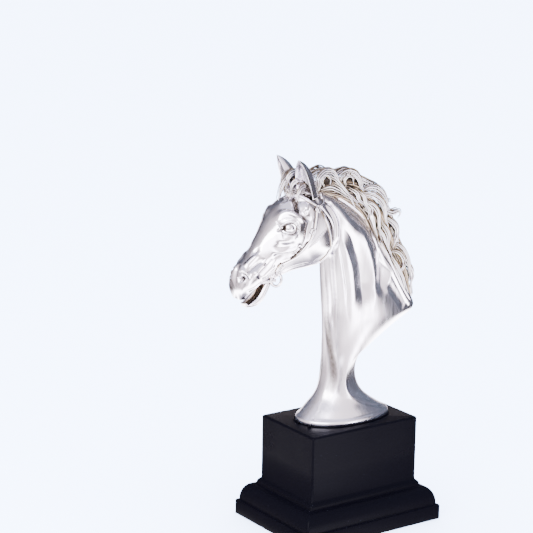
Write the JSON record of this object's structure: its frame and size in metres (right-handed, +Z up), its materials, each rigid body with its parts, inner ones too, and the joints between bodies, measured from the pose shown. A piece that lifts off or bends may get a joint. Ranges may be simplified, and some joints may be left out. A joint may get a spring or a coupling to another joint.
{
  "type": "horse head trophy",
  "caption": "Silver-plated horse head and neck with carved mane and bridle, standing on a flared foot on a stepped black plinth",
  "frame": {"origin": "centre of the plinth's underside, on the mirror plane", "axes": "+Z up, the horse faces -X, +Y is its right-hand side seen from above its back"},
  "size_m": [0.1402, 0.0814, 0.2433],
  "materials": {
    "black_base": "satin gloss black lacquer on cast resin",
    "silver": "satin silver plating on cast resin, browned in its recesses"
  },
  "bodies": {
    "root": {"plinth": "black_base", "horse_bust": "silver"}
  },
  "joints": []
}
